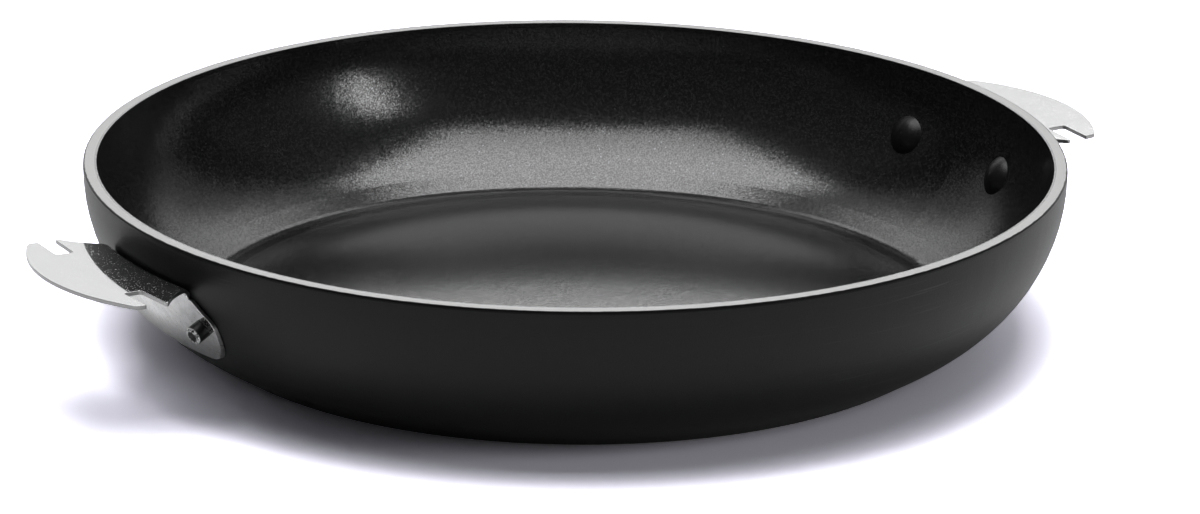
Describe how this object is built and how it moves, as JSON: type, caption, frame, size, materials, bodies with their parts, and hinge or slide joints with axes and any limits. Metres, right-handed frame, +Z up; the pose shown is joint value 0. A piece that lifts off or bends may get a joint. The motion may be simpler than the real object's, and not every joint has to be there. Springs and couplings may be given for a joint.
{
  "type": "frying pan",
  "caption": "Round shallow frying pan with a flared side, flat bare rim and a slotted sheet-steel ear riveted on each side for a lift-off handle.",
  "frame": {"origin": "centre of the underside, on the surface that the pan stands on", "axes": "+Z up along the pan's axis, +X through the middle of one ear, +Y across"},
  "size_m": [0.338, 0.28, 0.0494],
  "materials": {
    "pan_coating": "matt black non-stick coating over aluminium, rim turned bare",
    "disc_steel": "turned magnetic steel",
    "ear_steel": "polished stainless sheet",
    "rivet_coating": "matt black coating over solid rivet"
  },
  "bodies": {
    "root": {"pan_body": "pan_coating", "base_disc": "disc_steel", "ear_left": "ear_steel", "ear_right": "ear_steel", "rivet_left_front": "rivet_coating", "rivet_left_rear": "rivet_coating", "rivet_right_front": "rivet_coating", "rivet_right_rear": "rivet_coating"}
  },
  "joints": []
}
